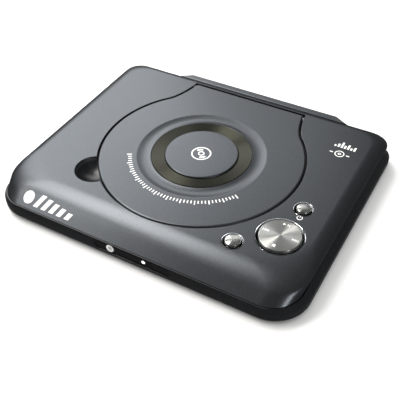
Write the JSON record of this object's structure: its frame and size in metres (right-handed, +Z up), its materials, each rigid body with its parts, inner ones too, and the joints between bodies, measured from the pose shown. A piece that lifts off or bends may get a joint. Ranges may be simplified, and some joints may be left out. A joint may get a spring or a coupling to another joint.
{
  "type": "portable dvd player",
  "caption": "Compact top-loading disc player: flat rounded case, hinged bell-shaped lid over a disc well, round transport pad, power and release buttons.",
  "frame": {"origin": "centre of the footprint, on the surface that the rubber feet stand on", "axes": "+X to the right along the front edge, +Y to the rear with the sockets, +Z up through the lid"},
  "size_m": [0.206, 0.164, 0.0229],
  "materials": {
    "case_paint": "charcoal metallic paint on moulded ABS, satin",
    "base_abs": "black moulded ABS, semi-gloss",
    "foot_rubber": "moulded rubber",
    "plain_steel": "plain ground or pressed steel",
    "smoked_window": "smoked acrylic, polished",
    "inner_abs": "dark moulded plastic",
    "chrome_trim": "bright chrome plating",
    "led_lens": "clear diffusing lens",
    "circuit_board": "glass-epoxy board with solder mask",
    "chip_epoxy": "moulded epoxy",
    "spun_ring": "dark anodised, spun with concentric lines",
    "lens_glass": "coated lens",
    "flex_film": "amber polyimide film",
    "brushed_button": "spun stainless steel, radial highlights"
  },
  "bodies": {
    "case": {"top_case": "case_paint", "rear_jack_housing": "case_paint", "bottom_case": "base_abs", "foot_front_left": "foot_rubber", "foot_front_right": "foot_rubber", "foot_rear_left": "foot_rubber", "foot_rear_right": "foot_rubber", "damper_1": "foot_rubber", "damper_2": "foot_rubber", "damper_3": "foot_rubber", "damper_4": "foot_rubber", "case_screw_front_left": "plain_steel", "case_screw_front_right": "plain_steel", "case_screw_rear_left": "plain_steel", "case_screw_rear_right": "plain_steel", "drive_deck": "plain_steel", "spindle_motor": "plain_steel", "guide_rod_front": "plain_steel", "guide_rod_rear": "plain_steel", "sled_motor": "plain_steel", "release_spring": "plain_steel", "front_panel": "smoked_window", "headphone_jack": "inner_abs", "dc_in_socket": "inner_abs", "av_out_socket": "inner_abs", "digital_out_socket": "inner_abs", "disc_well": "inner_abs", "power_switch": "inner_abs", "pad_switch_right": "inner_abs", "pad_switch_back": "inner_abs", "pad_switch_left": "inner_abs", "pad_switch_front": "inner_abs", "pad_post": "inner_abs", "jack_collar": "chrome_trim", "power_bezel": "chrome_trim", "release_bezel": "chrome_trim", "pad_bezel": "chrome_trim", "status_led": "led_lens", "jack_board": "circuit_board", "main_board": "circuit_board", "key_board": "circuit_board", "decoder_chip": "chip_epoxy", "flex_cable": "flex_film"},
    "lid": {"disc_lid": "case_paint", "lid_ring": "spun_ring", "lid_centre_cap": "case_paint", "lid_liner": "inner_abs", "hinge_pin_left": "plain_steel", "hinge_pin_right": "plain_steel"},
    "spindle": {"turntable": "inner_abs", "turntable_mat": "foot_rubber"},
    "drive_screw": {"lead_screw": "plain_steel"},
    "sled": {"pickup_sled": "inner_abs"},
    "lens": {"lens_holder": "chip_epoxy", "objective_lens": "lens_glass"},
    "power_key": {"power_button": "brushed_button"},
    "release_key": {"release_button": "brushed_button"},
    "catch": {"release_catch": "inner_abs"},
    "gimbal": {"pad_gimbal": "plain_steel"},
    "pad": {"transport_pad": "brushed_button"}
  },
  "joints": [
    {"name": "lid_hinge", "type": "hinge", "parent": "case", "child": "lid", "pos_m": [0, 0.07, 0.0203], "axis": [-1, 0, 0], "range_deg": [0, 70]},
    {"name": "spindle_spin", "type": "hinge", "parent": "case", "child": "spindle", "pos_m": [0, 0.0048, 0.012], "axis": [0, 0, 1], "continuous": true},
    {"name": "lead_screw_turn", "type": "hinge", "parent": "case", "child": "drive_screw", "pos_m": [0.035, -0.0187, 0.0098], "axis": [1, 0, 0], "range_deg": [0, 3600]},
    {"name": "sled_travel", "type": "slide", "parent": "case", "child": "sled", "axis": [1, 0, 0], "range_m": [0, 0.034]},
    {"name": "lens_focus", "type": "slide", "parent": "sled", "child": "lens", "axis": [0, 0, 1], "range_m": [-0.0004, 0.0004], "stiffness_N_per_m": 150},
    {"name": "power_press", "type": "slide", "parent": "case", "child": "power_key", "axis": [0, 0, -1], "range_m": [0, 0.0005], "stiffness_N_per_m": 1500, "springref_m": -0.0003},
    {"name": "release_press", "type": "slide", "parent": "case", "child": "release_key", "axis": [0, 0, -1], "range_m": [0, 0.0012], "stiffness_N_per_m": 600, "springref_m": -0.001, "deforming": ["release_spring"]},
    {"name": "catch_slide", "type": "slide", "parent": "case", "child": "catch", "axis": [0.6659, -0.7461, 0], "range_m": [0, 0.0012]},
    {"name": "pad_tilt_front_back", "type": "hinge", "parent": "case", "child": "gimbal", "pos_m": [0.0741, -0.0384, 0.017], "axis": [1, 0, 0], "range_deg": [-2.5, 2.5], "stiffness_Nm_per_rad": 0.3},
    {"name": "pad_tilt_left_right", "type": "hinge", "parent": "gimbal", "child": "pad", "pos_m": [0.0741, -0.0384, 0.017], "axis": [0, 1, 0], "range_deg": [-2.5, 2.5], "stiffness_Nm_per_rad": 0.3}
  ],
  "couplings": [
    {"joint": "catch_slide", "follows": "release_press", "ratio": 1},
    {"joint": "lead_screw_turn", "follows": "sled_travel", "rad_per_m": 1848}
  ]
}
